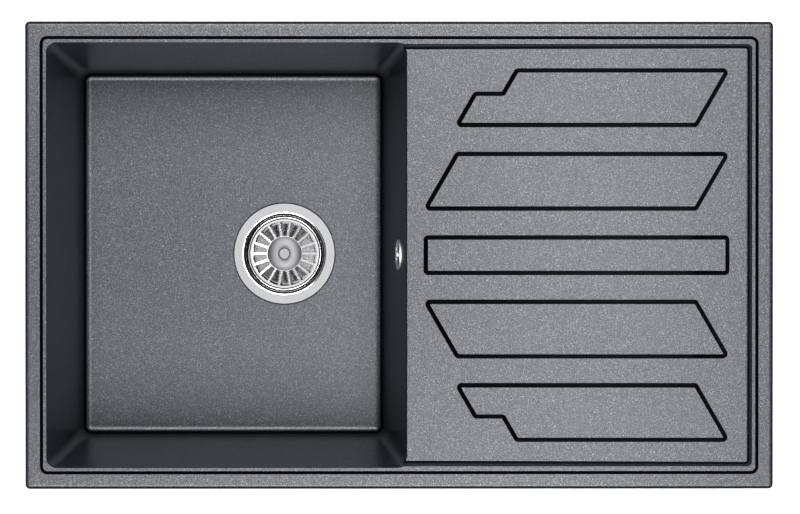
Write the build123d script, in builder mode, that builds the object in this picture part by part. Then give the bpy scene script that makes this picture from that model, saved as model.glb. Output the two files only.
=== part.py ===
"""Inset composite kitchen sink with one bowl, a drainer, a basket strainer waste and an overflow.

Millimetres. The origin is the centre of the rim's underside, which rests on the worktop.
+X runs towards the drainer, +Y towards the rear and +Z up.
"""
import math
import os

from build123d import *

# Rim, step and land
rim_length = 800
rim_width = 500
rim_height = 8
rim_corner = 5
rim_edge = 4.5
rim_flat = 16
step_run = 3
step_drop = 3
step_corner = 5
land_width = 4

# Bowl
bowl_length = 386
bowl_depth = 200
wall_thickness = 9
wall_draft = 7.4
bowl_corner = 10.5
floor_fillet = 10
floor_thickness = 10

# Drainer tray
tray_depth = 9.5
tray_draft = 14
tray_fall = 4
tray_inset = 1.5
tray_corner = 5
tray_fillet = 4.5
tray_underside = 17
lip_radius = 2
land_rounding = 1

# Raised panels of the drainer
panel_height = 4.6
panel_side_run = 4.6
panel_corner = 2.8
panel_slant = 60
panel_end_gap = 25.3
panel_start_gap = 19.4
middle_panel_half = 19
panel_spacing = 31
panel_width = 58.5
notch_depth = 25
notch_length = 30

# Ribs and bosses under the drainer
rib_thickness = 8
rib_depth = 7
rib_margin = 14
long_rib_y = 82
cross_rib_count = 2
boss_radius = 11
boss_depth = 9
boss_inset = 20

# Waste
waste_offset = 57
sheet = 1.2
flange_radius = 56
flange_play = 1.25
flange_recess = 2.5
gasket_thickness = 1
gasket_play = 0.6
gasket_show = 0.8
floor_hole_radius = 45
cup_radius = 42.4
cup_depth = 48
cup_floor_bend = 6
cup_lip_bend = 3.2
cup_hole_count = 8
cup_hole_radius = 5
cup_hole_circle = 17.5
waste_gasket_thickness = 3
waste_gasket_outer = 56
body_inner = 47
body_wall = 3
body_flange_radius = 57
body_flange_thickness = 5
body_drop = 57
body_cone_drop = 16
outlet_radius = 23.9
outlet_bore = 20.4
outlet_length = 20
hub_radius = 16
hub_gap = 4.5
hub_floor = 2.7
hub_web_count = 3
hub_web_thickness = 4
hub_web_height = 10
insert_flats = 18
insert_height = 12

# Central screw and basket
screw_radius = 6
screw_head_radius = 10
screw_head_height = 4
screw_slot_width = 2.4
screw_slot_depth = 1.6
screw_end_wall = 3
screw_end_play = 0.5
guide_play = 0.05
stem_radius = 4
basket_drop = 5
basket_radius = 41.4
basket_sheet = 1
basket_skirt = 4
basket_ring_inner = 36.5
basket_dish_drop = 1.2
basket_dome_radius = 19.2
basket_dome_flat = 8.4
basket_dome_rise = 2.4
rim_line_radius = 38.7
rim_line_width = 0.7
rim_line_depth = 0.4
basket_bend = 1.2
slot_outer = 36
slot_inner = 19.8
slot_count = 18
spoke_width = 2.6
collar_radius = 8
collar_height = 3
knob_radius = 6.5
knob_neck_radius = 5.2
knob_neck_height = 3
knob_height = 8
knob_play = 0.3
knob_rounding = 1.2
knob_cap = 2.5
close_travel = 8
seal_outer = 30
seal_inner = 18
seal_height = 9
seal_disc_radius = 33.5
seal_disc_thickness = 2
seal_edge = 2
stem_reach = 12
stem_end_play = 2
stem_ring_height = 3
stem_ring_depth = 1
stem_ring_offset = 5

# Overflow
overflow_drop = 70
overflow_hole_radius = 13.6
rosette_radius = 16.6
rosette_inner = 13.2
rosette_height = 2.2
rosette_edge = 1
rosette_bar_width = 5.5
rosette_bar_height = 1.6
rosette_turn = -13
overflow_screw_radius = 2
overflow_head_radius = 3.8
overflow_head_height = 1.4
overflow_slot_width = 0.9
overflow_slot_depth = 0.7
overflow_gasket_thickness = 2
elbow_flange_radius = 20
elbow_flange_thickness = 4
elbow_radius = 15
elbow_wall = 3
elbow_reach = 26
elbow_post_radius = 5.5
elbow_insert_radius = 3.5
elbow_insert_length = 10
spigot_radius = 10
spigot_bore = 7.5
spigot_length = 24
body_spigot_drop = 26

# Hose and its clamps
hose_rib_radius = 13
hose_valley_radius = 11.4
hose_cuff_radius = 12
hose_cuff_length = 20
hose_pitch = 4.5
rib_profile = (
    (0.1, hose_valley_radius),
    (0.35, hose_rib_radius),
    (0.65, hose_rib_radius),
    (0.9, hose_valley_radius),
)
clamp_width = 9
clamp_thickness = 1
clamp_housing_length = 12
clamp_housing_height = 5

# Fixing clips
clip_thickness = 2
clip_width = 20
clip_heel = 11
clip_web = 15.5
clip_web_drop = 16
clip_reach = 42
clip_tip_run = 2
clip_tip_rise = 4
clip_bend = 2.5
clip_play = 0.05
clip_screw_radius = 2.5
clip_screw_reach = 11
clip_head_flats = 8
clip_head_height = 3.5
clip_washer_radius = 6.5
clip_washer_thickness = 1
clip_insert_radius = 4
clip_insert_length = 12
clip_corner_gap = 86
clip_bowl_gap = 103
clip_end_gap = 88

# Levels and outlines that follow from the dimensions above
draft_slope = math.tan(math.radians(wall_draft))
slant_slope = 1 / math.tan(math.radians(panel_slant))
land_z = rim_height - step_drop
floor_z = rim_height - bowl_depth
underside_z = floor_z - floor_thickness
recess_margin = rim_flat + step_run + land_width
recess_x = rim_length / 2 - recess_margin
recess_y = rim_width / 2 - recess_margin
bowl_right = bowl_length - recess_x
bowl_x = bowl_right - bowl_length / 2
skirt_x = recess_x + wall_thickness
skirt_y = recess_y + wall_thickness
tray_end_z = land_z - tray_depth
tray_run = recess_x - bowl_right
tray_lip_z = tray_end_z - tray_fall
boss_z = -tray_underside - boss_depth
drain_x = bowl_x + waste_offset

os.makedirs("parts", exist_ok=True)


def save(part, name):
    """Label a finished piece and write its STEP file."""
    part.label = name
    export_step(part, f"parts/{name}.step")


def wall_inset(level):
    """How far the drafted walls have come in at a level below the land."""
    return (land_z - level) * draft_slope


def down_a_wall(edge):
    """True for an edge that runs down between two walls."""
    return abs((edge @ 1 - edge @ 0).Z) > edge.length / 2


def slant(rise):
    """Sideways run of a panel's slanted end over a rise in Y."""
    return rise * slant_slope


# Space inside the bowl
with BuildPart() as bowl_space:
    with BuildSketch(Plane.XY.offset(land_z)):
        with Locations((bowl_x, 0)):
            Rectangle(bowl_length, 2 * recess_y)
    extrude(amount=-bowl_depth + step_drop)
    draft(bowl_space.faces().filter_by(Axis.Z, reverse=True), Plane.XY.offset(land_z), -wall_draft)
    fillet(bowl_space.edges().filter_by(down_a_wall), bowl_corner)
    fillet(bowl_space.faces().sort_by(Axis.Z)[0].edges(), floor_fillet)

# Outside of the bowl, with the walls parallel to the space inside
with BuildPart() as bowl_shell:
    with BuildSketch(Plane.XY.offset(land_z)):
        with Locations((bowl_x, 0)):
            Rectangle(bowl_length + 2 * wall_thickness, 2 * skirt_y)
    extrude(amount=underside_z - land_z)
    draft(bowl_shell.faces().filter_by(Axis.Z, reverse=True), Plane.XY.offset(land_z), -wall_draft)
    fillet(bowl_shell.edges().filter_by(down_a_wall), bowl_corner + wall_thickness)
    fillet(bowl_shell.faces().sort_by(Axis.Z)[0].edges(), floor_fillet + wall_thickness)

# Space over the drainer tray, which falls towards the bowl
tray_plane = Plane(
    origin=(recess_x, 0, tray_end_z), x_dir=(tray_run, 0, tray_fall), z_dir=(-tray_fall, 0, tray_run)
)
with BuildPart() as tray_space:
    with BuildSketch(Plane.XY.offset(land_z)):
        with Locations(((bowl_x + recess_x) / 2, 0)):
            Rectangle(recess_x - bowl_x, 2 * (recess_y - tray_inset))
    extrude(amount=-tray_depth - tray_fall * (recess_x - bowl_x) / tray_run - tray_fall)
    draft(tray_space.faces().filter_by(Axis.Z, reverse=True), Plane.XY.offset(land_z), -tray_draft)
    split(bisect_by=tray_plane, keep=Keep.TOP)
    fillet(tray_space.edges().filter_by(down_a_wall), tray_corner)
    fillet(tray_space.faces().sort_by(Axis.Z)[0].edges(), tray_fillet)

# Outlines of the raised panels, on the tray's slope and measured from its far end
panel_right = -panel_end_gap
panel_left = panel_start_gap - tray_run
inner_low = middle_panel_half + panel_spacing
inner_high = inner_low + panel_width
outer_low = inner_high + panel_spacing
outer_high = outer_low + panel_width
notch_y = outer_high - notch_depth
outer_left = panel_left + slant(panel_width)
notch_left = outer_left + slant(notch_y - outer_low)
notch_right = notch_left + notch_length
middle_outline = [
    (panel_left, -middle_panel_half),
    (panel_right, -middle_panel_half),
    (panel_right, middle_panel_half),
    (panel_left, middle_panel_half),
]
inner_outline = [
    (panel_left, inner_low),
    (panel_right - slant(panel_width), inner_low),
    (panel_right, inner_high),
    (panel_left + slant(panel_width), inner_high),
]
outer_outline = [
    (outer_left, outer_low),
    (panel_right - slant(panel_width), outer_low),
    (panel_right, outer_high),
    (notch_right + slant(notch_depth), outer_high),
    (notch_right, notch_y),
    (notch_left, notch_y),
]
panel_outlines = [middle_outline]
for outline in (inner_outline, outer_outline):
    panel_outlines.append(outline)
    panel_outlines.append([(x, -y) for x, y in outline])
panel_taper = math.degrees(math.atan2(panel_side_run, panel_height))

# Clip places: X, Y and the direction of the parked arm in degrees
clip_edge_x = skirt_x - boss_inset
clip_edge_y = skirt_y - boss_inset
clip_first_x = bowl_right + clip_bowl_gap
clip_second_x = recess_x - clip_end_gap
clip_side_y = skirt_y - clip_corner_gap
clip_places = [
    (clip_first_x, clip_edge_y, 0),
    (clip_second_x, clip_edge_y, 0),
    (clip_edge_x, clip_side_y, -90),
    (clip_edge_x, -clip_side_y, -90),
    (clip_second_x, -clip_edge_y, 0),
    (clip_first_x, -clip_edge_y, 0),
]
clip_points = [(x, y) for x, y, turn in clip_places]

# Overflow axis, square to the bowl's right wall and pointing into the bowl
overflow_z = rim_height - overflow_drop
overflow_x = bowl_right - wall_inset(overflow_z)
draft_cos = math.cos(math.radians(wall_draft))
draft_sin = math.sin(math.radians(wall_draft))
overflow_plane = Plane(
    origin=(overflow_x, 0, overflow_z), x_dir=(0, 1, 0), z_dir=(-draft_cos, 0, draft_sin)
)
wall_through = wall_thickness * draft_cos

with BuildPart() as sink_body:
    with BuildSketch():
        RectangleRounded(rim_length, rim_width, rim_corner)
    extrude(amount=rim_height)
    fillet(sink_body.faces().sort_by(Axis.Z)[-1].edges(), rim_edge)
    # Slab under the drainer
    with BuildSketch():
        with Locations(((bowl_x + skirt_x) / 2, 0)):
            RectangleRounded(skirt_x - bowl_x, 2 * skirt_y, bowl_corner + wall_thickness)
    extrude(amount=-tray_underside)
    # Ribs along and across the slab
    rib_start = bowl_right
    rib_end = skirt_x - rib_margin
    with BuildSketch(Plane.XY.offset(-tray_underside)):
        for rib_y in (long_rib_y, -long_rib_y):
            with Locations(((rib_start + rib_end) / 2, rib_y)):
                Rectangle(rib_end - rib_start, rib_thickness)
        for number in range(cross_rib_count):
            with Locations((bowl_right + tray_run * (number + 1) / (cross_rib_count + 1), 0)):
                Rectangle(rib_thickness, 2 * (skirt_y - rib_margin))
    extrude(amount=-rib_depth)
    # Clip bosses
    with BuildSketch(Plane.XY.offset(-tray_underside)):
        with Locations(*clip_points):
            Circle(boss_radius)
    extrude(amount=-boss_depth)
    add(bowl_shell.part)
    # Step inside the rim, down to the land
    for level, run in ((land_z, 0), (rim_height, step_run)):
        with BuildSketch(Plane.XY.offset(level)):
            step_half_x = recess_x + land_width + run
            step_half_y = recess_y + land_width + run
            RectangleRounded(2 * step_half_x, 2 * step_half_y, step_corner + run)
    loft(ruled=True, mode=Mode.SUBTRACT)
    add(tray_space.part, mode=Mode.SUBTRACT)
    add(bowl_space.part, mode=Mode.SUBTRACT)
    # Rounded lip where the tray runs into the bowl, and rounded inner edge of the land
    lip_x = bowl_right - wall_inset(tray_lip_z)
    fillet(sink_body.edges().filter_by(Axis.Y).sort_by_distance((lip_x, 0, tray_lip_z))[0], lip_radius)
    land_edges = sink_body.edges().filter_by_position(Axis.Z, land_z, land_z)
    land_edges = land_edges.filter_by_position(Axis.X, -recess_x, recess_x)
    fillet(land_edges.filter_by_position(Axis.Y, -recess_y, recess_y), land_rounding)
    # Raised panels
    for outline in panel_outlines:
        with BuildSketch(tray_plane) as panel_base:
            with BuildLine():
                Polyline(*outline, close=True)
            make_face()
            fillet(panel_base.vertices(), panel_corner)
            offset(amount=panel_side_run / 2)
        extrude(amount=panel_height, taper=panel_taper)
    # Seat and hole for the waste
    with BuildSketch(Plane.XY.offset(floor_z)):
        with Locations((drain_x, 0)):
            Circle(flange_radius + flange_play)
    extrude(amount=-flange_recess, mode=Mode.SUBTRACT)
    with BuildSketch(Plane.XY.offset(floor_z)):
        with Locations((drain_x, 0)):
            Circle(floor_hole_radius)
    extrude(amount=-floor_thickness, mode=Mode.SUBTRACT)
    # Overflow hole
    with BuildSketch(overflow_plane):
        Circle(overflow_hole_radius)
    extrude(amount=-wall_through, both=True, mode=Mode.SUBTRACT)
    # Holes for the clip inserts
    with BuildSketch(Plane.XY.offset(boss_z)):
        with Locations(*clip_points):
            Circle(clip_insert_radius)
    extrude(amount=clip_insert_length, mode=Mode.SUBTRACT)
save(sink_body.part, "sink_body")

# Waste: everything here turns about one upright axis through the floor hole
drain_axis = Axis((drain_x, 0, 0), (0, 0, 1))
drain_section = Plane(origin=(drain_x, 0, 0), x_dir=(1, 0, 0), z_dir=(0, -1, 0))
seat_z = floor_z - flange_recess
flange_under_z = seat_z + gasket_thickness
flange_z = flange_under_z + sheet
cup_floor_z = flange_z - cup_depth
cup_under_z = cup_floor_z - sheet
cup_outer = cup_radius + sheet
gasket_inner = cup_outer + cup_lip_bend + gasket_play

with BuildPart() as flange_gasket:
    with BuildSketch(Plane.XY.offset(seat_z)):
        with Locations((drain_x, 0)):
            Circle(flange_radius + gasket_show)
            Circle(gasket_inner, mode=Mode.SUBTRACT)
    extrude(amount=gasket_thickness)
save(flange_gasket.part, "flange_gasket")

with BuildPart() as strainer_cup:
    with BuildSketch(drain_section):
        with BuildLine():
            FilletPolyline(
                (screw_radius, cup_floor_z),
                (cup_radius, cup_floor_z),
                (cup_radius, flange_z),
                (flange_radius, flange_z),
                radius=(cup_floor_bend, cup_lip_bend + sheet),
            )
            FilletPolyline(
                (screw_radius, cup_under_z),
                (cup_outer, cup_under_z),
                (cup_outer, flange_under_z),
                (flange_radius, flange_under_z),
                radius=(cup_floor_bend + sheet, cup_lip_bend),
            )
            Line((screw_radius, cup_under_z), (screw_radius, cup_floor_z))
            Line((flange_radius, flange_under_z), (flange_radius, flange_z))
        make_face()
    revolve(axis=drain_axis)
    with BuildSketch(Plane.XY.offset(cup_under_z)):
        with Locations((drain_x, 0)):
            with PolarLocations(cup_hole_circle, cup_hole_count):
                Circle(cup_hole_radius)
    extrude(amount=sheet, mode=Mode.SUBTRACT)
save(strainer_cup.part, "strainer_cup")

with BuildPart() as waste_gasket:
    with BuildSketch(Plane.XY.offset(underside_z)):
        with Locations((drain_x, 0)):
            Circle(waste_gasket_outer)
            Circle(body_inner, mode=Mode.SUBTRACT)
    extrude(amount=-waste_gasket_thickness)
save(waste_gasket.part, "waste_gasket")

# Waste body, with the hub that takes the central screw and a spigot for the overflow
body_top_z = underside_z - waste_gasket_thickness
body_cone_z = body_top_z - body_drop
body_neck_z = body_cone_z - body_cone_drop
outlet_z = body_neck_z - body_wall - outlet_length
body_outer = body_inner + body_wall
hub_top_z = cup_under_z - hub_gap
screw_head_z = cup_floor_z + screw_head_height
stem_tip_z = screw_head_z - stem_reach
bore_end_z = stem_tip_z - close_travel - stem_end_play
screw_end_z = bore_end_z - screw_end_wall
pocket_end_z = screw_end_z - screw_end_play
hub_under_z = pocket_end_z - hub_floor
spigot_z = body_top_z - body_spigot_drop
spigot_tip_x = drain_x + body_outer + spigot_length
spigot_plane = Plane(origin=(spigot_tip_x, 0, spigot_z), x_dir=(0, 1, 0), z_dir=(-1, 0, 0))

with BuildPart() as waste_body:
    with BuildSketch(drain_section):
        with BuildLine():
            Polyline(
                (body_inner, body_top_z),
                (body_flange_radius, body_top_z),
                (body_flange_radius, body_top_z - body_flange_thickness),
                (body_outer, body_top_z - body_flange_thickness),
                (body_outer, body_cone_z - body_wall / 2),
                (outlet_radius, body_neck_z - body_wall),
                (outlet_radius, outlet_z),
                (outlet_bore, outlet_z),
                (outlet_bore, body_neck_z),
                (body_inner, body_cone_z),
                close=True,
            )
        make_face()
    revolve(axis=drain_axis)
    with BuildSketch(spigot_plane):
        Circle(spigot_radius)
    extrude(amount=spigot_length + body_wall / 2)
    with BuildSketch(spigot_plane):
        Circle(spigot_bore)
    extrude(amount=spigot_length + 2 * body_wall, mode=Mode.SUBTRACT)
    # Closed hub on webs, with a hexagon pocket from above
    web_reach = body_inner + body_wall / 2
    with BuildSketch(Plane.XY.offset(body_cone_z)):
        with Locations((drain_x, 0)):
            with PolarLocations(web_reach / 2, hub_web_count, start_angle=180):
                Rectangle(web_reach, hub_web_thickness)
    extrude(amount=hub_web_height)
    with BuildSketch(Plane.XY.offset(hub_under_z)):
        with Locations((drain_x, 0)):
            Circle(hub_radius)
    extrude(amount=hub_top_z - hub_under_z)
    with BuildSketch(Plane.XY.offset(hub_top_z)):
        with Locations((drain_x, 0)):
            Circle(screw_radius)
    extrude(amount=pocket_end_z - hub_top_z, mode=Mode.SUBTRACT)
    with BuildSketch(Plane.XY.offset(hub_top_z)):
        with Locations((drain_x, 0)):
            RegularPolygon(insert_flats / 2, 6, major_radius=False)
    extrude(amount=-insert_height, mode=Mode.SUBTRACT)
save(waste_body.part, "waste_body")

with BuildPart() as waste_insert:
    with BuildSketch(Plane.XY.offset(hub_top_z)):
        with Locations((drain_x, 0)):
            RegularPolygon(insert_flats / 2, 6, major_radius=False)
            Circle(screw_radius, mode=Mode.SUBTRACT)
    extrude(amount=-insert_height)
save(waste_insert.part, "waste_insert")

# Hollow screw: its bore guides the basket's stem
bore_radius = stem_radius + guide_play
with BuildPart() as fixing_screw:
    with BuildSketch(drain_section):
        with BuildLine():
            Polyline(
                (0, screw_end_z),
                (screw_radius, screw_end_z),
                (screw_radius, cup_floor_z),
                (screw_head_radius, cup_floor_z),
                (screw_head_radius, screw_head_z),
                (bore_radius, screw_head_z),
                (bore_radius, bore_end_z),
                (0, bore_end_z),
                close=True,
            )
        make_face()
    revolve(axis=drain_axis)
    with BuildSketch(Plane.XY.offset(screw_head_z)):
        with Locations((drain_x, 0)):
            Rectangle(2 * screw_head_radius, screw_slot_width)
    extrude(amount=-screw_slot_depth, mode=Mode.SUBTRACT)
save(fixing_screw.part, "fixing_screw")

# Basket, drawn raised on its stem with the seal clear of the cup's floor
basket_z = flange_z - basket_drop
dish_z = basket_z - basket_dish_drop
dome_z = dish_z + basket_dome_rise
dome_under_z = dome_z - basket_sheet
with BuildPart() as basket_shell:
    with BuildSketch(drain_section) as shell_section:
        with BuildLine():
            Polyline(
                (basket_dome_radius, dish_z - basket_sheet),
                (basket_ring_inner, basket_z - basket_sheet),
                (basket_radius - basket_sheet, basket_z - basket_sheet),
                (basket_radius - basket_sheet, basket_z - basket_skirt),
                (basket_radius, basket_z - basket_skirt),
                (basket_radius, basket_z),
                (basket_ring_inner, basket_z),
                (basket_dome_radius, dish_z),
            )
            Polyline(
                (basket_dome_flat, dome_z),
                (bore_radius, dome_z),
                (bore_radius, dome_under_z),
                (basket_dome_flat, dome_under_z),
            )
            for level, foot in ((dome_z, dish_z), (dome_under_z, dish_z - basket_sheet)):
                TangentArc((basket_dome_flat, level), (basket_dome_radius, foot), tangent=(1, 0))
        make_face()
        fillet(shell_section.vertices().group_by(Axis.X)[-1].sort_by(Axis.Y)[-1], basket_bend)
    revolve(axis=drain_axis)
    with BuildSketch(Plane.XY.offset(basket_z)):
        with Locations((drain_x, 0)):
            Circle(slot_outer)
            Circle(slot_inner, mode=Mode.SUBTRACT)
            with PolarLocations((slot_outer + slot_inner) / 2, slot_count):
                Rectangle(slot_outer, spoke_width, mode=Mode.SUBTRACT)
    extrude(amount=-basket_dish_drop - 2 * basket_sheet, mode=Mode.SUBTRACT)
    # Fine line round the rim
    with BuildSketch(Plane.XY.offset(basket_z)):
        with Locations((drain_x, 0)):
            Circle(rim_line_radius + rim_line_width)
            Circle(rim_line_radius, mode=Mode.SUBTRACT)
    extrude(amount=-rim_line_depth, mode=Mode.SUBTRACT)
save(basket_shell.part, "basket_shell")

# Stem: collar under the shell, seat for the seal's disc and a groove for the ring near its tip
seal_z = cup_floor_z + close_travel
disc_z = seal_z + seal_height
knob_z = dome_z + knob_play
stem_top_z = knob_z + knob_height - knob_cap
collar_z = dome_under_z - collar_height
ring_z = stem_tip_z + stem_ring_offset
groove_radius = stem_radius - stem_ring_depth
with BuildPart() as basket_stem:
    with BuildSketch(drain_section):
        with BuildLine():
            Polyline(
                (0, stem_tip_z),
                (stem_radius, stem_tip_z),
                (stem_radius, ring_z),
                (groove_radius, ring_z),
                (groove_radius, ring_z + stem_ring_height),
                (stem_radius, ring_z + stem_ring_height),
                (stem_radius, collar_z),
                (collar_radius, collar_z),
                (collar_radius, dome_under_z),
                (stem_radius, dome_under_z),
                (stem_radius, stem_top_z),
                (0, stem_top_z),
                close=True,
            )
        make_face()
    revolve(axis=drain_axis)
save(basket_stem.part, "basket_stem")

with BuildPart() as stem_ring:
    with BuildSketch(Plane.XY.offset(ring_z)):
        with Locations((drain_x, 0)):
            Circle(stem_radius + guide_play / 2)
            Circle(groove_radius, mode=Mode.SUBTRACT)
    extrude(amount=stem_ring_height)
save(stem_ring.part, "stem_ring")

with BuildPart() as basket_knob:
    with BuildSketch(drain_section) as knob_section:
        with BuildLine():
            Polyline(
                (stem_radius, knob_z),
                (knob_neck_radius, knob_z),
                (knob_neck_radius, knob_z + knob_neck_height),
                (knob_radius, knob_z + knob_neck_height),
                (knob_radius, knob_z + knob_height),
                (0, knob_z + knob_height),
                (0, stem_top_z),
                (stem_radius, stem_top_z),
                close=True,
            )
        make_face()
        fillet(knob_section.vertices().group_by(Axis.X)[-1], knob_rounding)
    revolve(axis=drain_axis)
save(basket_knob.part, "basket_knob")

with BuildPart() as seal_disc:
    with BuildSketch(Plane.XY.offset(disc_z)):
        with Locations((drain_x, 0)):
            Circle(seal_disc_radius)
            Circle(stem_radius, mode=Mode.SUBTRACT)
    extrude(amount=seal_disc_thickness)
save(seal_disc.part, "seal_disc")

with BuildPart() as basket_seal:
    with BuildSketch(drain_section) as seal_section:
        with BuildLine():
            Polyline(
                (seal_inner, seal_z),
                (seal_outer, seal_z),
                (seal_outer, seal_z + seal_height),
                (seal_inner, seal_z + seal_height),
                close=True,
            )
        make_face()
        fillet(seal_section.vertices().group_by(Axis.X)[-1], seal_edge)
    revolve(axis=drain_axis)
save(basket_seal.part, "basket_seal")

# Overflow: rosette in the bowl, elbow behind its wall
with BuildPart() as overflow_rosette:
    with BuildSketch(overflow_plane):
        Circle(rosette_radius)
        Circle(rosette_inner, mode=Mode.SUBTRACT)
    extrude(amount=rosette_height)
    fillet(overflow_rosette.faces().sort_by(Axis.X)[0].edges(), rosette_edge)
    with BuildSketch(overflow_plane):
        with Locations(Location((0, 0), 90 + rosette_turn)):
            Rectangle(rosette_radius + rosette_inner, rosette_bar_width)
    extrude(amount=rosette_bar_height)
    with BuildSketch(overflow_plane):
        Circle(overflow_screw_radius)
    extrude(amount=rosette_height, mode=Mode.SUBTRACT)
save(overflow_rosette.part, "overflow_rosette")

gasket_depth = wall_through + overflow_gasket_thickness
elbow_depth = gasket_depth + elbow_flange_thickness + elbow_reach
post_depth = elbow_depth - elbow_wall - elbow_insert_length
with BuildPart() as overflow_screw:
    with BuildSketch(overflow_plane.offset(rosette_bar_height)) as screw_head:
        Circle(overflow_head_radius)
    extrude(amount=overflow_head_height)
    with BuildSketch(overflow_plane.offset(rosette_bar_height)):
        Circle(overflow_screw_radius)
    extrude(amount=-rosette_bar_height - elbow_depth + elbow_wall)
    with BuildSketch(overflow_plane.offset(rosette_bar_height + overflow_head_height)):
        with Locations(Location((0, 0), rosette_turn)):
            Rectangle(2 * overflow_head_radius, overflow_slot_width)
    extrude(amount=-overflow_slot_depth, mode=Mode.SUBTRACT)
save(overflow_screw.part, "overflow_screw")

with BuildPart() as overflow_gasket:
    with BuildSketch(overflow_plane.offset(-wall_through)):
        Circle(elbow_flange_radius)
        Circle(overflow_hole_radius, mode=Mode.SUBTRACT)
    extrude(amount=-overflow_gasket_thickness)
save(overflow_gasket.part, "overflow_gasket")

spigot_top = overflow_plane.offset(elbow_reach / 2 - elbow_depth).origin
elbow_tip_z = spigot_top.Z - elbow_radius - spigot_length
with BuildPart() as overflow_elbow:
    with BuildSketch(overflow_plane.offset(-gasket_depth)):
        Circle(elbow_flange_radius)
    extrude(amount=-elbow_flange_thickness)
    with BuildSketch(overflow_plane.offset(-gasket_depth)):
        Circle(elbow_radius)
    extrude(amount=-elbow_flange_thickness - elbow_reach)
    with BuildSketch(Plane.XY.offset(elbow_tip_z)):
        with Locations((spigot_top.X, 0)):
            Circle(spigot_radius)
    extrude(amount=spigot_top.Z - elbow_tip_z)
    with BuildSketch(overflow_plane.offset(-gasket_depth)):
        Circle(elbow_radius - elbow_wall)
    extrude(amount=elbow_wall - elbow_flange_thickness - elbow_reach, mode=Mode.SUBTRACT)
    with BuildSketch(Plane.XY.offset(elbow_tip_z)):
        with Locations((spigot_top.X, 0)):
            Circle(spigot_bore)
    extrude(amount=spigot_top.Z - elbow_tip_z, mode=Mode.SUBTRACT)
    # Post on the end wall, drilled for the insert
    with BuildSketch(overflow_plane.offset(-post_depth)):
        Circle(elbow_post_radius)
        Circle(elbow_insert_radius, mode=Mode.SUBTRACT)
    extrude(amount=-elbow_insert_length)
save(overflow_elbow.part, "overflow_elbow")

with BuildPart() as overflow_insert:
    with BuildSketch(overflow_plane.offset(-post_depth)):
        Circle(elbow_insert_radius)
        Circle(overflow_screw_radius, mode=Mode.SUBTRACT)
    extrude(amount=-elbow_insert_length)
save(overflow_insert.part, "overflow_insert")

# Ribbed hose: its cuffs go over the two spigots
hose_start = Vector(spigot_top.X, 0, elbow_tip_z + hose_cuff_length)
hose_end = Vector(spigot_tip_x - hose_cuff_length, 0, spigot_z)
hose_corner = Vector(hose_start.X, 0, hose_end.Z)
shorter_leg = min(hose_start.Z - hose_corner.Z, hose_corner.X - hose_end.X)
with BuildLine() as hose_route:
    FilletPolyline(hose_start, hose_corner, hose_end, radius=shorter_leg - hose_cuff_length)
route = hose_route.wires()[0]
rib_count = int((route.length - 2 * hose_cuff_length) / hose_pitch)
ribs_start = (route.length - rib_count * hose_pitch) / 2
hose_rings = [(0, hose_cuff_radius), (ribs_start, hose_cuff_radius)]
for number in range(rib_count):
    for share, radius in rib_profile:
        hose_rings.append((ribs_start + (number + share) * hose_pitch, radius))
hose_rings.append((route.length - ribs_start, hose_cuff_radius))
hose_rings.append((route.length, hose_cuff_radius))


def across_route(distance):
    """Plane square to the hose's route at a distance along it."""
    share = distance / route.length
    return Plane(origin=route @ share, x_dir=(0, 1, 0), z_dir=route % share)


with BuildPart() as overflow_hose:
    for distance, radius in hose_rings:
        with BuildSketch(across_route(distance)):
            Circle(radius)
    loft(ruled=True)
    with BuildSketch(across_route(0)):
        Circle(spigot_radius)
    sweep(path=route, mode=Mode.SUBTRACT)
save(overflow_hose.part, "overflow_hose")

# Band clamps in the middle of each cuff
clamp_outer = hose_cuff_radius + clamp_thickness
clamp_places = {
    "hose_clamp_upper": hose_cuff_length / 2,
    "hose_clamp_lower": route.length - hose_cuff_length / 2,
}
for name, distance in clamp_places.items():
    with BuildPart() as hose_clamp:
        with BuildSketch(across_route(distance)):
            Circle(clamp_outer)
            with Locations((clamp_outer + clamp_housing_height / 2 - clamp_thickness, 0)):
                Rectangle(clamp_housing_height, clamp_housing_length)
            Circle(hose_cuff_radius, mode=Mode.SUBTRACT)
        extrude(amount=clamp_width / 2, both=True)
    save(hose_clamp.part, name)

# Fixing clip, drawn about its screw with the arm along +X, then placed under each boss
with BuildPart() as clip_blank:
    half = clip_thickness / 2
    with BuildSketch(Plane.XZ):
        with BuildLine():
            FilletPolyline(
                (-clip_heel, -half),
                (clip_web, -half),
                (clip_web, -half - clip_web_drop),
                (clip_reach - clip_tip_run, -half - clip_web_drop),
                (clip_reach, -half - clip_web_drop + clip_tip_rise),
                radius=clip_bend,
            )
        trace(line_width=clip_thickness)
    extrude(amount=clip_width / 2, both=True)
    with BuildSketch(Plane.XY):
        Circle(clip_screw_radius + clip_play)
    extrude(amount=-clip_thickness, mode=Mode.SUBTRACT)
for number, (x, y, turn) in enumerate(clip_places, start=1):
    save(clip_blank.part.moved(Location((x, y, boss_z), turn)), f"fixing_clip_{number}")

washer_z = boss_z - clip_thickness
head_z = washer_z - clip_washer_thickness
with BuildPart() as clip_washers:
    with BuildSketch(Plane.XY.offset(washer_z)):
        with Locations(*clip_points):
            Circle(clip_washer_radius)
        with Locations(*clip_points):
            Circle(clip_screw_radius, mode=Mode.SUBTRACT)
    extrude(amount=-clip_washer_thickness)
save(clip_washers.part, "clip_washers")

with BuildPart() as clip_screws:
    with BuildSketch(Plane.XY.offset(head_z)):
        with Locations(*clip_points):
            Circle(clip_screw_radius)
    extrude(amount=boss_z - head_z + clip_screw_reach)
    with BuildSketch(Plane.XY.offset(head_z)):
        with Locations(*clip_points):
            RegularPolygon(clip_head_flats / 2, 6, major_radius=False)
    extrude(amount=-clip_head_height)
save(clip_screws.part, "clip_screws")

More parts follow.
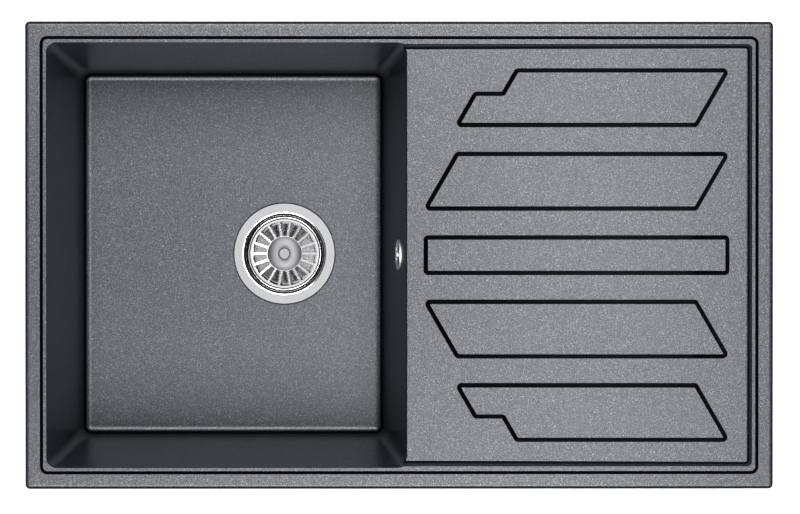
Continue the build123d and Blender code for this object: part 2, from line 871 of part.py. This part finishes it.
with BuildPart() as clip_inserts:
    with BuildSketch(Plane.XY.offset(boss_z)):
        with Locations(*clip_points):
            Circle(clip_insert_radius)
        with Locations(*clip_points):
            Circle(clip_screw_radius, mode=Mode.SUBTRACT)
    extrude(amount=clip_insert_length)
save(clip_inserts.part, "clip_inserts")
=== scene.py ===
"""Looks of the inset kitchen sink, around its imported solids. Metres, in the solids' own frame."""
import math

import bmesh
import bpy
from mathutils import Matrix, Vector


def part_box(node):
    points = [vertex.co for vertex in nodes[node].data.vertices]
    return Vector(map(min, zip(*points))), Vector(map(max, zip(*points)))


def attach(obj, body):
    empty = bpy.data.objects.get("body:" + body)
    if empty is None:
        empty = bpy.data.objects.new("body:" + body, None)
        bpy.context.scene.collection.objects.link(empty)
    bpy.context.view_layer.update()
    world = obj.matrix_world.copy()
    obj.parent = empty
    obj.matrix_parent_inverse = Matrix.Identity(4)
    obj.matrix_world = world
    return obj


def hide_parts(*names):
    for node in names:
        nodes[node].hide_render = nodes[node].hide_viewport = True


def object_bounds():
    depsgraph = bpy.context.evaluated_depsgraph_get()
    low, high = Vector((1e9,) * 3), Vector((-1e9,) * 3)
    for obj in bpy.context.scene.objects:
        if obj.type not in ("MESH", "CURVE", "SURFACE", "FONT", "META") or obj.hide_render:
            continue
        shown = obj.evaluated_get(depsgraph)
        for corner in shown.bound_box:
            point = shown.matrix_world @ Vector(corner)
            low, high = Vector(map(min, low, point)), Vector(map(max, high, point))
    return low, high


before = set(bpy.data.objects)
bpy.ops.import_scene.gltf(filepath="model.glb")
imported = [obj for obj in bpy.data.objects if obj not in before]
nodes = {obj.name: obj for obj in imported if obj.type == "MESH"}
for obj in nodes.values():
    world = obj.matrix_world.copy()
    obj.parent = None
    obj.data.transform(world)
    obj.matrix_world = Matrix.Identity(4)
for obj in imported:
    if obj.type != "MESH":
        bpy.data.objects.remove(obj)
cad_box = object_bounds()
scene = bpy.context.scene
mm = 0.001

# Camera: high above the sink, a little to its left and rear, as in the photograph
camera_place = (-0.033, 0.040, 4.252)
camera_target = (0.0007, -0.0019, 0)
camera_lens = 178.75
camera_sensor = 36

# Lights: one softbox over the bowl, one over the drainer, and a panel at the front and the rear
overhead_place = (-0.25, 0, 2.2)
overhead_size = (0.8, 0.48)
overhead_radiance = 0.6
drainer_place = (0.33, 0, 2.2)
drainer_size = (0.24, 0.62)
drainer_radiance = 10.4
panel_reach = 1.05
panel_x = -0.08
panel_z = 2.2
panel_size = (1.7, 1.0)
panel_radiance = 6.2

# Sky: dim, with a brighter band between two heights, given as the sine of the angle above the horizon
sky_colour = (0.95, 0.97, 1.0, 1)
sky_strength = 0.06
band_strength = 0.5
band_low = 0.42
band_high = 0.72
band_edge = 0.15
backdrop_colour = (1, 1, 1, 1)

# Floor under the sink
floor_gap = 1 * mm
floor_size = 30
floor_dark = (0.74, 0.74, 0.75, 1)
floor_pale = (0.77, 0.77, 0.77, 1)
floor_patch_scale = 3
floor_roughness = 0.9
floor_glow_colour = (1, 1, 1, 1)
floor_glow = 0.3

# Composite: dark resin, grains and a few pale grains, with the number of grains in a metre
resin_colour = (0.018, 0.0194, 0.0222, 1)
grain_colour = (0.106, 0.113, 0.126, 1)
grain_scale = 2400
grain_from = 0.15
pale_colour = (0.285, 0.303, 0.333, 1)
pale_scale = 2000
pale_from = 0.86
gloss_scale = 2100
gloss_range = (0.3, 0.42)
composite_specular = 0.8
composite_bump_scale = 2400
composite_bump_depth = 0.04 * mm
composite_bump_strength = 0.3

# Slopes of the panels, the step and the fillets: darker than the walls and the flats by painted shade, and
# smoother
slope_shade_colour = (0.0075, 0.0078, 0.0083, 1)
slope_roughness = 0.2
wall_facing = (0.3, 0.5)
flat_facing = (0.76, 0.94)

# Basket: a dull dome, painted darker than the spokes as shade, inside bright spokes, and a fine dark line
# of painted shade on the rim, by the distance from its axis
dome_radius = 19.2 * mm
dome_edge = 0.5 * mm
dome_shaded_colours = ((0.235, 0.235, 0.238, 1), (0.19, 0.19, 0.193, 1))
dome_roughness = (0.48, 0.56)
spoke_colours = ((0.67, 0.67, 0.68, 1), (0.53, 0.53, 0.54, 1))
spoke_roughness = (0.14, 0.18)
scratch_scale = 1200
scratch_share = 0.15
basket_gloss_scale = 900
rim_shade_line_radius = 39.05 * mm
rim_shade_line_half = 0.5 * mm
rim_shade_line_colour = (0.03, 0.03, 0.03, 1)

# Other materials: how dark their patches are and how far their roughness varies
steel_patch_scale = 60
steel_patch_shade = 0.92
steel_spread = (0.8, 1.2)
metal_patch_shade = 0.6
metal_spread = (0.8, 1.3)
plastic_patch_scale = 30
plastic_patch_shade = 0.9
plastic_spread = (0.85, 1.15)
plastic_bump_detail = 4
plastic_bump_depth = 0.05 * mm
plastic_bump_strength = 0.3

# Overflow hose, in place of its solid
hose_rib_radius = 13 * mm
hose_valley_radius = 11.4 * mm
hose_cuff_radius = 12 * mm
hose_cuff_length = 20 * mm
hose_pitch = 4.5 * mm
hose_bore_radius = 10.05 * mm
hose_sides = 40
hose_bore_rings = 40
rings_per_rib = 8
route_steps = 48
route_order = 3

# Noise keeps mostly to this range
noise_low = 0.3
noise_high = 0.7

# Sockets of a Mix node: share, first and second, and then its result
colour_mix_inputs = (0, 6, 7)
colour_mix_output = 2
value_mix_inputs = (0, 2, 3)
value_mix_output = 0


# Material helpers

def new_material(name):
    material = bpy.data.materials.new(name)
    material.use_nodes = True
    tree = material.node_tree
    return material, tree, tree.nodes["Principled BSDF"]


def put(tree, socket, value):
    """Set a socket to a constant, or link it to another socket."""
    if isinstance(value, bpy.types.NodeSocket):
        tree.links.new(value, socket)
    else:
        socket.default_value = value


def node(tree, kind, settings=None, **inputs):
    """Add a node; inputs go by socket name, with underscores for spaces."""
    made = tree.nodes.new("ShaderNode" + kind)
    for key, value in (settings or {}).items():
        setattr(made, key, value)
    for key, value in inputs.items():
        put(tree, made.inputs[key.replace("_", " ")], value)
    return made


def place_of(tree):
    return node(tree, "TexCoord").outputs["Object"]


def upright_part(tree, vector):
    return node(tree, "SeparateXYZ", Vector=vector).outputs["Z"]


def noise(tree, scale, detail=2.0):
    return node(tree, "TexNoise", Vector=place_of(tree), Scale=scale, Detail=detail).outputs["Fac"]


def cells(tree, scale):
    """A random value for each cell of a fine grain."""
    grain = node(tree, "TexVoronoi", {"feature": "F1"}, Vector=place_of(tree), Scale=scale)
    return node(tree, "SeparateColor", Color=grain.outputs["Color"]).outputs["Red"]


def remap(tree, value, low, high, to_low, to_high):
    spread = node(tree, "MapRange", Value=value)
    for key, number in zip(("From Min", "From Max", "To Min", "To Max"), (low, high, to_low, to_high)):
        spread.inputs[key].default_value = number
    return spread.outputs["Result"]


def noise_between(tree, scale, to_low, to_high):
    """Noise spread over a range of values."""
    return remap(tree, noise(tree, scale), noise_low, noise_high, to_low, to_high)


def mix_colour(tree, share, first, second):
    mixer = node(tree, "Mix", {"data_type": "RGBA"})
    for number, value in zip(colour_mix_inputs, (share, first, second)):
        put(tree, mixer.inputs[number], value)
    return mixer.outputs[colour_mix_output]


def mix_value(tree, share, first, second):
    mixer = node(tree, "Mix", {"data_type": "FLOAT"})
    for number, value in zip(value_mix_inputs, (share, first, second)):
        put(tree, mixer.inputs[number], value)
    return mixer.outputs[value_mix_output]


def bump(tree, shader, height, distance, strength):
    made = node(tree, "Bump", Height=height, Distance=distance, Strength=strength)
    tree.links.new(made.outputs["Normal"], shader.inputs["Normal"])


def shaded(colour, share=1):
    """A colour times a share, with full alpha."""
    return (*(part * share for part in colour), 1)


# Materials

def composite_material():
    """Quartz composite: dark resin with fine pale and dark grains, and painted shade on the slopes."""
    material, tree, shader = new_material("quartz_composite")
    grain = remap(tree, cells(tree, grain_scale), grain_from, 1, 0, 1)
    colour = mix_colour(tree, grain, resin_colour, grain_colour)
    pale = remap(tree, cells(tree, pale_scale), pale_from, 1, 0, 1)
    colour = mix_colour(tree, pale, colour, pale_colour)
    # Mask of the slopes between the walls and the flats: painted shade darkens their colour, and their
    # gloss is smoother
    facing = upright_part(tree, node(tree, "TexCoord").outputs["Normal"])
    off_wall = remap(tree, facing, *wall_facing, 0, 1)
    off_flat = remap(tree, facing, *flat_facing, 1, 0)
    shaded_slope = mix_value(tree, off_wall, 0.0, off_flat)
    colour = mix_colour(tree, shaded_slope, colour, slope_shade_colour)
    tree.links.new(colour, shader.inputs["Base Color"])
    gloss = remap(tree, cells(tree, gloss_scale), 0, 1, *gloss_range)
    put(tree, shader.inputs["Roughness"], mix_value(tree, shaded_slope, gloss, slope_roughness))
    shader.inputs["Specular IOR Level"].default_value = composite_specular
    height = noise(tree, composite_bump_scale)
    bump(tree, shader, height, composite_bump_depth, composite_bump_strength)
    return material


def steel_material(name, colour, roughness, brushed, grain):
    """Steel, where brushed with lines that run round the piece's upright axis."""
    material, tree, shader = new_material(name)
    shader.inputs["Metallic"].default_value = 1
    patches = noise(tree, steel_patch_scale)
    tint = mix_colour(tree, patches, shaded(colour, steel_patch_shade), shaded(colour))
    tree.links.new(tint, shader.inputs["Base Color"])
    low, high = steel_spread
    spread = noise_between(tree, grain, roughness * low, roughness * high)
    tree.links.new(spread, shader.inputs["Roughness"])
    shader.inputs["Anisotropic"].default_value = brushed
    if brushed:
        turned = node(tree, "Tangent", {"direction_type": "RADIAL", "axis": "Z"})
        tree.links.new(turned.outputs["Tangent"], shader.inputs["Tangent"])
    return material


def distance_from_axis(tree, name):
    """Distance from the upright axis through the middle of a node's box."""
    low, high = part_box(name)
    from_axis = node(tree, "VectorMath", {"operation": "SUBTRACT"})
    put(tree, from_axis.inputs[0], place_of(tree))
    from_axis.inputs[1].default_value = (low + high) / 2
    flat = node(tree, "VectorMath", {"operation": "MULTIPLY"})
    put(tree, flat.inputs[0], from_axis.outputs["Vector"])
    flat.inputs[1].default_value = (1, 1, 0)
    length = node(tree, "VectorMath", {"operation": "LENGTH"})
    put(tree, length.inputs[0], flat.outputs["Vector"])
    return length.outputs["Value"]


def basket_material():
    """Pressed steel: bright rim and spokes round a duller dome painted darker as shade, and a line of
    painted shade on the rim.
    """
    material, tree, shader = new_material("pressed_steel")
    shader.inputs["Metallic"].default_value = 1
    radius = distance_from_axis(tree, "basket_shell")
    beyond_dome = remap(tree, radius, dome_radius, dome_radius + dome_edge, 0, 1)
    scratches = noise_between(tree, scratch_scale, 0, scratch_share)
    # The dome's steel is painted darker than the spokes' steel, as shade
    shaded_dome = mix_colour(tree, scratches, *dome_shaded_colours)
    bright = mix_colour(tree, scratches, *spoke_colours)
    pressed = mix_colour(tree, beyond_dome, shaded_dome, bright)
    # A fine dark ring of painted shade on the rim
    shade_line = node(tree, "Math", {"operation": "COMPARE"})
    for socket, value in zip(shade_line.inputs, (radius, rim_shade_line_radius, rim_shade_line_half)):
        put(tree, socket, value)
    shade_lined = mix_colour(tree, shade_line.outputs["Value"], pressed, rim_shade_line_colour)
    tree.links.new(shade_lined, shader.inputs["Base Color"])
    satin = noise_between(tree, basket_gloss_scale, *dome_roughness)
    polished = noise_between(tree, basket_gloss_scale, *spoke_roughness)
    put(tree, shader.inputs["Roughness"], mix_value(tree, beyond_dome, satin, polished))
    return material


def metal_material(name, colour, roughness, grain, mottle):
    """Plain metal whose tone and gloss vary a little in patches."""
    material, tree, shader = new_material(name)
    shader.inputs["Metallic"].default_value = 1
    patches = remap(tree, cells(tree, grain), 0, 1, 0, mottle)
    tint = mix_colour(tree, patches, shaded(colour), shaded(colour, metal_patch_shade))
    tree.links.new(tint, shader.inputs["Base Color"])
    low, high = metal_spread
    spread = noise_between(tree, grain, roughness * low, roughness * high)
    tree.links.new(spread, shader.inputs["Roughness"])
    return material


def moulded_material(name, colour, roughness, grain):
    """Moulded plastic or rubber with a faint grain."""
    material, tree, shader = new_material(name)
    patches = noise(tree, plastic_patch_scale)
    tint = mix_colour(tree, patches, shaded(colour, plastic_patch_shade), shaded(colour))
    tree.links.new(tint, shader.inputs["Base Color"])
    low, high = plastic_spread
    spread = noise_between(tree, grain, roughness * low, roughness * high)
    tree.links.new(spread, shader.inputs["Roughness"])
    height = noise(tree, grain, plastic_bump_detail)
    bump(tree, shader, height, plastic_bump_depth, plastic_bump_strength)
    return material


def floor_material():
    """Pale floor that glows a little, so that it nearly meets the backdrop."""
    material, tree, shader = new_material("pale_floor")
    tint = mix_colour(tree, noise(tree, floor_patch_scale), floor_dark, floor_pale)
    tree.links.new(tint, shader.inputs["Base Color"])
    shader.inputs["Roughness"].default_value = floor_roughness
    shader.inputs["Emission Color"].default_value = floor_glow_colour
    shader.inputs["Emission Strength"].default_value = floor_glow
    return material


def dress(material, *names):
    """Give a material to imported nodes."""
    for name in names:
        slots = nodes[name].data.materials
        slots.clear()
        slots.append(material)


def dress_nodes():
    dress(composite_material(), "sink_body")
    dress(
        steel_material("satin_steel", (0.64, 0.64, 0.65), roughness=0.1, brushed=0.3, grain=900),
        "strainer_cup",
    )
    dress(basket_material(), "basket_shell", "basket_knob", "basket_stem")
    dress(
        steel_material("turned_steel", (0.19, 0.19, 0.195), roughness=0.28, brushed=0.97, grain=900),
        "seal_disc",
    )
    dress(
        steel_material("satin_chrome", (0.86, 0.86, 0.87), roughness=0.58, brushed=0, grain=200),
        "overflow_rosette", "overflow_screw",
    )
    dress(
        metal_material("bright_steel", (0.68, 0.68, 0.69), roughness=0.25, grain=500, mottle=0.2),
        "fixing_screw", "clip_screws", "clip_washers", "hose_clamp_upper", "hose_clamp_lower",
    )
    dress(
        metal_material("zinc_plate", (0.62, 0.64, 0.66), roughness=0.32, grain=160, mottle=0.5),
        *[name for name in nodes if name.startswith("fixing_clip_")],
    )
    dress(
        metal_material("brass", (0.76, 0.56, 0.26), roughness=0.25, grain=400, mottle=0.15),
        "waste_insert", "overflow_insert", "clip_inserts",
    )
    dress(
        moulded_material("black_rubber", (0.025, 0.025, 0.026), roughness=0.6, grain=700),
        "flange_gasket", "waste_gasket", "basket_seal", "overflow_gasket",
    )
    dress(
        moulded_material("white_plastic", (0.78, 0.78, 0.76), roughness=0.4, grain=500),
        "waste_body", "overflow_elbow",
    )
    dress(
        moulded_material("ring_plastic", (0.82, 0.82, 0.78), roughness=0.35, grain=800),
        "stem_ring",
    )


# Camera, lights and floor

def link(thing):
    scene.collection.objects.link(thing)
    return thing


def make_camera():
    lens = bpy.data.cameras.new("photo_camera")
    lens.sensor_width = camera_sensor
    lens.lens = camera_lens
    camera = link(bpy.data.objects.new("photo_camera", lens))
    camera.location = camera_place
    aim = Vector(camera_target) - Vector(camera_place)
    camera.rotation_euler = (math.atan2(aim.y, -aim.z), -math.atan2(aim.x, -aim.z), 0)
    scene.camera = camera


def softbox(name, place, target, size, radiance):
    """Rectangular area light of one radiance, aimed at a point and unseen by the camera."""
    lamp = bpy.data.lights.new(name, "AREA")
    lamp.shape = "RECTANGLE"
    lamp.size, lamp.size_y = size
    lamp.energy = radiance * math.pi * size[0] * size[1]
    light = link(bpy.data.objects.new(name, lamp))
    light.location = place
    aim = Vector(target) - Vector(place)
    light.rotation_euler = aim.to_track_quat("-Z", "Y").to_euler()
    light.visible_camera = False


def make_sky():
    """Dim sky with a brighter band half way up, behind a pale backdrop that only the camera sees."""
    world = bpy.data.worlds.new("studio")
    world.use_nodes = True
    tree = world.node_tree
    sky = tree.nodes["Background"]
    sky.inputs["Color"].default_value = sky_colour
    height = upright_part(tree, node(tree, "TexCoord").outputs["Generated"])
    rise = remap(tree, height, band_low, band_low + band_edge, sky_strength, band_strength)
    fade = remap(tree, height, band_high, band_high + band_edge, 0, 1)
    put(tree, sky.inputs["Strength"], mix_value(tree, fade, rise, sky_strength))
    backdrop = node(tree, "Background", Color=backdrop_colour)
    seen = node(tree, "LightPath").outputs["Is Camera Ray"]
    blend = node(tree, "MixShader")
    sources = (seen, sky.outputs["Background"], backdrop.outputs["Background"])
    for socket, source in zip(blend.inputs, sources):
        tree.links.new(source, socket)
    tree.links.new(blend.outputs["Shader"], tree.nodes["World Output"].inputs["Surface"])
    scene.world = world


def make_lights():
    """Softboxes above the bowl and the drainer, and bright panels high at the front and rear."""
    for name, place, size, radiance in (
        ("bowl_softbox", overhead_place, overhead_size, overhead_radiance),
        ("drainer_softbox", drainer_place, drainer_size, drainer_radiance),
    ):
        softbox(name, place, (place[0], place[1], 0), size, radiance)
    for name, side in (("front_panel", -1), ("rear_panel", 1)):
        place = (panel_x, side * panel_reach, panel_z)
        softbox(name, place, (panel_x, 0, 0), panel_size, panel_radiance)
    make_sky()
    scene.view_settings.view_transform = "Standard"
    scene.view_settings.look = "Very High Contrast"


def make_floor():
    sheet = bpy.data.meshes.new("floor")
    half = floor_size / 2
    level = cad_box[0][2] - floor_gap
    corners = [(-half, -half, level), (half, -half, level), (half, half, level), (-half, half, level)]
    sheet.from_pydata(corners, [], [(0, 1, 2, 3)])
    sheet.materials.append(floor_material())
    link(bpy.data.objects.new("floor", sheet))


# Hose

def spline_points(controls):
    """Points along the smooth line that the control points pull."""
    curve = bpy.data.curves.new("hose_route", "CURVE")
    curve.dimensions = "3D"
    curve.resolution_u = route_steps
    spline = curve.splines.new("NURBS")
    spline.points.add(len(controls) - 1)
    for point, place in zip(spline.points, controls):
        point.co = (*place, 1)
    spline.order_u = route_order
    spline.use_endpoint_u = True
    holder = link(bpy.data.objects.new("hose_route", curve))
    mesh = bpy.data.meshes.new_from_object(holder)
    points = [vertex.co.copy() for vertex in mesh.vertices]
    bpy.data.objects.remove(holder)
    bpy.data.meshes.remove(mesh)
    return points


def hose_route():
    """The hose's middle line: straight cuffs at both ends and one bend between them."""
    low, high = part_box("overflow_hose")
    start = Vector((high.x - hose_rib_radius, 0, high.z))
    end = Vector((low.x, 0, low.z + hose_rib_radius))
    corner = Vector((start.x, 0, end.z))
    first_cuff = start - Vector((0, 0, hose_cuff_length))
    second_cuff = end + Vector((hose_cuff_length, 0, 0))
    return [start] + spline_points([first_cuff, corner, second_cuff]) + [end]


def hose_profile(length):
    """Distances and radii of the hose's rings: out along the cuffs and ribs, and back through the bore."""
    rib_count = int((length - 2 * hose_cuff_length) / hose_pitch)
    first_rib = (length - rib_count * hose_pitch) / 2
    middle = (hose_rib_radius + hose_valley_radius) / 2
    swell = (hose_rib_radius - hose_valley_radius) / 2
    profile = [(0, hose_bore_radius), (0, hose_cuff_radius), (first_rib, hose_cuff_radius)]
    for number in range(rib_count * rings_per_rib):
        share = (number + 0.5) / rings_per_rib
        radius = middle - swell * math.cos(2 * math.pi * share)
        profile.append((first_rib + share * hose_pitch, radius))
    profile.append((length - first_rib, hose_cuff_radius))
    profile.append((length, hose_cuff_radius))
    profile.append((length, hose_bore_radius))
    for number in range(1, hose_bore_rings):
        profile.append((length * (1 - number / hose_bore_rings), hose_bore_radius))
    return profile


def along(points, distance):
    """Place and direction at a distance along a line of points."""
    for first, second in zip(points, points[1:]):
        step = (second - first).length
        if distance <= step or second is points[-1]:
            return first.lerp(second, distance / step), (second - first).normalized()
        distance -= step


def ring(shape, place, direction, radius):
    """Circle of vertices square to the hose's line, which lies in the XZ plane."""
    side = Vector((0, 1, 0))
    up = direction.cross(side).normalized()
    made = []
    for number in range(hose_sides):
        turn = 2 * math.pi * number / hose_sides
        made.append(shape.verts.new(place + radius * (math.cos(turn) * side + math.sin(turn) * up)))
    return made


def make_hose():
    route = hose_route()
    length = sum((after - before).length for before, after in zip(route, route[1:]))
    shape = bmesh.new()
    rings = [ring(shape, *along(route, distance), radius) for distance, radius in hose_profile(length)]
    for first, second in zip(rings, rings[1:] + rings[:1]):
        for number in range(hose_sides):
            after = (number + 1) % hose_sides
            shape.faces.new((first[number], first[after], second[after], second[number]))
    bmesh.ops.recalc_face_normals(shape, faces=shape.faces)
    mesh = bpy.data.meshes.new("ribbed_hose")
    shape.to_mesh(mesh)
    shape.free()
    mesh.materials.append(moulded_material("hose_plastic", (0.62, 0.62, 0.61), roughness=0.42, grain=600))
    for face in mesh.polygons:
        face.use_smooth = True
    hose = link(bpy.data.objects.new("ribbed_hose", mesh))
    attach(hose, "sink")
    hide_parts("overflow_hose")


make_camera()
make_hose()
make_floor()
make_lights()
dress_nodes()
